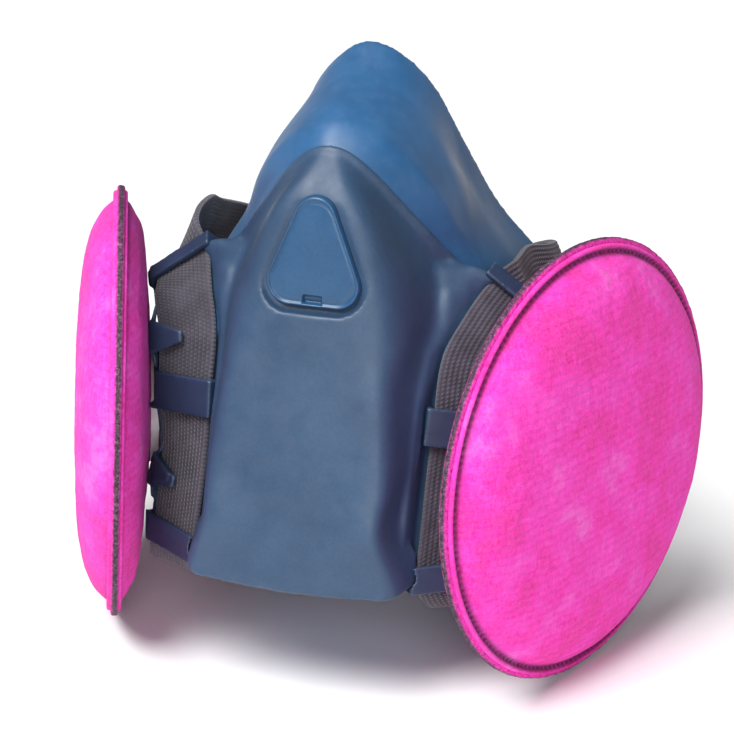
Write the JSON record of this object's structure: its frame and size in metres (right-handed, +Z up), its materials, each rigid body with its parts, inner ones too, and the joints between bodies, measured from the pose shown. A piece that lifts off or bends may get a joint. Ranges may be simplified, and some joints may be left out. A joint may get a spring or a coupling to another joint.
{
  "type": "half-face respirator",
  "caption": "Reusable half-face respirator: silicone face seal, hard front cover, round felt filters on twist-lock ports, elastic straps in side guides and a drop-down head harness.",
  "frame": {"origin": "the wearer's mouth point: on the mid-plane, midway between the centres of the two filters' rims", "axes": "+Z up; -Y is the front of the mask; +Y towards the wearer; +X to the wearer's left"},
  "size_m": [0.161, 0.1808, 0.1433],
  "materials": {
    "cover_plastic": "fine matte moulded grey-blue",
    "badge_plastic": "satin moulded blue",
    "silicone": "satin silicone",
    "frame_plastic": "fine matte moulded dark grey-blue",
    "port_plastic": "smooth moulded",
    "valve_rubber": "thin translucent silicone",
    "harness_plastic": "fine matte moulded",
    "woven_elastic": "ribbed woven elastic",
    "filter_felt": "nonwoven felt, mottled magenta",
    "filter_media": "fibrous filter medium",
    "filter_weld": "welded felt edge",
    "filter_collar_plastic": "smooth moulded"
  },
  "bodies": {
    "mask": {"face_seal": "silicone", "front_cover": "cover_plastic", "size_badge": "badge_plastic", "exhalation_valve_seat": "port_plastic", "right_inhalation_port": "port_plastic", "right_port_gasket": "valve_rubber", "right_strap_frame": "frame_plastic", "right_strap": "woven_elastic", "left_inhalation_port": "port_plastic", "left_port_gasket": "valve_rubber", "left_strap_frame": "frame_plastic", "left_strap": "woven_elastic"},
    "right_filter": {"right_filter_outer_felt": "filter_felt", "right_filter_inner_felt": "filter_felt", "right_filter_media": "filter_media", "right_filter_weld": "filter_weld", "right_filter_collar": "filter_collar_plastic"},
    "left_filter": {"left_filter_outer_felt": "filter_felt", "left_filter_inner_felt": "filter_felt", "left_filter_media": "filter_media", "left_filter_weld": "filter_weld", "left_filter_collar": "filter_collar_plastic"},
    "right_inhalation_flap": {"right_inhalation_valve": "valve_rubber"},
    "left_inhalation_flap": {"left_inhalation_valve": "valve_rubber"},
    "exhalation_flap": {"exhalation_valve": "valve_rubber"},
    "head_harness": {"head_cradle": "harness_plastic", "right_head_strap": "woven_elastic", "left_head_strap": "woven_elastic"},
    "right_adjuster": {"right_head_adjuster": "harness_plastic"},
    "left_adjuster": {"left_head_adjuster": "harness_plastic"},
    "buckle_hook_half": {"neck_buckle_hook": "harness_plastic"},
    "buckle_loop_half": {"neck_buckle_loop": "harness_plastic"}
  },
  "joints": [
    {"name": "right_filter_twist", "type": "hinge", "parent": "mask", "child": "right_filter", "pos_m": [0.04893, 0.00373, -0.00045], "axis": [0.9269, -0.3726, 0.0454], "range_deg": [0, 90]},
    {"name": "left_filter_twist", "type": "hinge", "parent": "mask", "child": "left_filter", "pos_m": [-0.04893, 0.00373, -0.00045], "axis": [-0.9269, -0.3726, 0.0454], "range_deg": [0, 90]},
    {"name": "right_inhalation_lift", "type": "slide", "parent": "mask", "child": "right_inhalation_flap", "axis": [-0.9269, 0.3726, -0.0454], "range_m": [0, 0.002], "stiffness_N_per_m": 20, "springref_m": -0.001},
    {"name": "left_inhalation_lift", "type": "slide", "parent": "mask", "child": "left_inhalation_flap", "axis": [0.9269, 0.3726, -0.0454], "range_m": [0, 0.002], "stiffness_N_per_m": 20, "springref_m": -0.001},
    {"name": "exhalation_lift", "type": "slide", "parent": "mask", "child": "exhalation_flap", "axis": [0, -0.9553, 0.2957], "range_m": [0, 0.0018], "stiffness_N_per_m": 20, "springref_m": -0.001},
    {"name": "harness_swing", "type": "hinge", "parent": "mask", "child": "head_harness", "pos_m": [0, 0.024, 0.03965], "axis": [1, 0, 0], "range_deg": [0, 75]},
    {"name": "right_adjuster_slide", "type": "slide", "parent": "head_harness", "child": "right_adjuster", "axis": [0, 0, 1], "range_m": [0, 0.005]},
    {"name": "left_adjuster_slide", "type": "slide", "parent": "head_harness", "child": "left_adjuster", "axis": [0, 0, 1], "range_m": [0, 0.005]},
    {"name": "buckle_hook_slide", "type": "slide", "parent": "mask", "child": "buckle_hook_half", "axis": [0, -1, 0], "range_m": [0, 0.012]},
    {"name": "buckle_loop_slide", "type": "slide", "parent": "mask", "child": "buckle_loop_half", "axis": [0, -1, 0], "range_m": [0, 0.012]}
  ]
}
